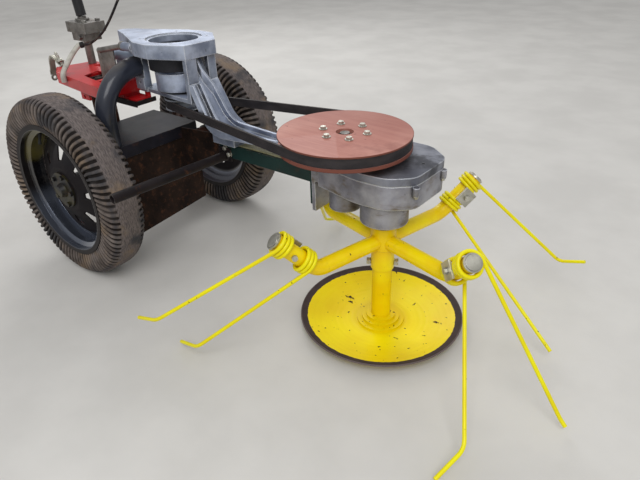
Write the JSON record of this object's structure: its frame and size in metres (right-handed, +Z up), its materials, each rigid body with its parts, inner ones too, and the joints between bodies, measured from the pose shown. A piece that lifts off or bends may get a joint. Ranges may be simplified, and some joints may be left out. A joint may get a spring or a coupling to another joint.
{
  "type": "walk-behind hay tedder",
  "caption": "Walk-behind hay tedder: a spring-tine rotor over a skid dish, belt driven through a wooden pulley, on two lugged wheels, with an engine flange and handlebar.",
  "frame": {"origin": "centre of the part's box, on the ground", "axes": "+X forward towards the rotor, +Y to the machine's left, +Z up"},
  "size_m": [2.3963, 1.0119, 1.031],
  "materials": {
    "cast_alloy": "rough cast, dull",
    "beam_paint": "worn dark green paint",
    "strip_paint": "worn pale yellow paint",
    "dark_steel": "old dark paint with rust",
    "rusty_steel": "rusted",
    "black_paint": "semi gloss",
    "bare_steel": "weathered",
    "red_paint": "satin, scuffed",
    "blue_grey_paint": "worn",
    "grip_rubber": "matte",
    "zinc": "zinc plated, dull",
    "pale_plastic": "matte",
    "black_plastic": "satin",
    "belt_rubber": "matte, dusty",
    "plywood": "stained plywood",
    "yellow_paint": "worn gloss",
    "tyre": "dusty, muddy",
    "black_gloss": "gloss",
    "olive_paint": "greasy, chipped"
  },
  "bodies": {
    "frame": {"engine_plate": "cast_alloy", "bell_frame": "cast_alloy", "swept_arm": "cast_alloy", "gear_case": "cast_alloy", "case_cover": "cast_alloy", "beam": "beam_paint", "beam_strip": "strip_paint", "cross_bar": "dark_steel", "platform": "dark_steel", "apron": "rusty_steel", "tie_plate": "rusty_steel", "support_pipe": "black_paint", "axle_case": "rusty_steel", "axle": "bare_steel", "red_frame": "red_paint", "rear_angle": "bare_steel", "sprocket": "dark_steel", "coupling_tube": "blue_grey_paint", "column_post": "bare_steel", "column_clamp": "bare_steel", "handlebar": "black_paint", "grips": "grip_rubber", "hand_levers": "zinc", "control_rod": "bare_steel", "hose": "pale_plastic", "cable": "black_plastic", "belt": "belt_rubber"},
    "wheel_left": {"tyre_left": "tyre", "rim_left": "black_gloss", "hub_left": "olive_paint"},
    "wheel_right": {"tyre_right": "tyre", "rim_right": "black_gloss", "hub_right": "olive_paint"},
    "rotor": {"rotor_hub": "yellow_paint", "rotor_shaft": "bare_steel", "rotor_post": "yellow_paint", "post_sleeve": "yellow_paint", "rotor_fasteners": "zinc", "tines": "yellow_paint", "arm_caps": "zinc"},
    "dish": {"skid_dish": "yellow_paint"},
    "pulley": {"wood_pulley": "plywood", "pulley_bolts": "zinc", "pulley_shaft": "bare_steel"},
    "drive": {"clutch_drum": "cast_alloy", "drive_pulley": "cast_alloy"}
  },
  "joints": [
    {"name": "wheel_left_turn", "type": "hinge", "parent": "frame", "child": "wheel_left", "pos_m": [-0.36478, 0.316, 0.295], "axis": [0, 1, 0], "continuous": true},
    {"name": "wheel_right_turn", "type": "hinge", "parent": "frame", "child": "wheel_right", "pos_m": [-0.36478, -0.316, 0.295], "axis": [0, 1, 0], "continuous": true},
    {"name": "rotor_turn", "type": "hinge", "parent": "frame", "child": "rotor", "pos_m": [0.61122, 0, 0.273], "axis": [0, 0, 1], "continuous": true},
    {"name": "dish_turn", "type": "hinge", "parent": "rotor", "child": "dish", "pos_m": [0.61122, 0, 0.02], "axis": [0, 0, 1], "continuous": true},
    {"name": "pulley_turn", "type": "hinge", "parent": "frame", "child": "pulley", "pos_m": [0.48622, 0, 0.53], "axis": [0, 0, 1], "continuous": true},
    {"name": "drive_turn", "type": "hinge", "parent": "frame", "child": "drive", "pos_m": [-0.12878, -0.012, 0.53], "axis": [0, 0, 1], "continuous": true}
  ],
  "couplings": [
    {"joint": "pulley_turn", "follows": "rotor_turn", "ratio": -3},
    {"joint": "drive_turn", "follows": "rotor_turn", "ratio": -10.08}
  ]
}
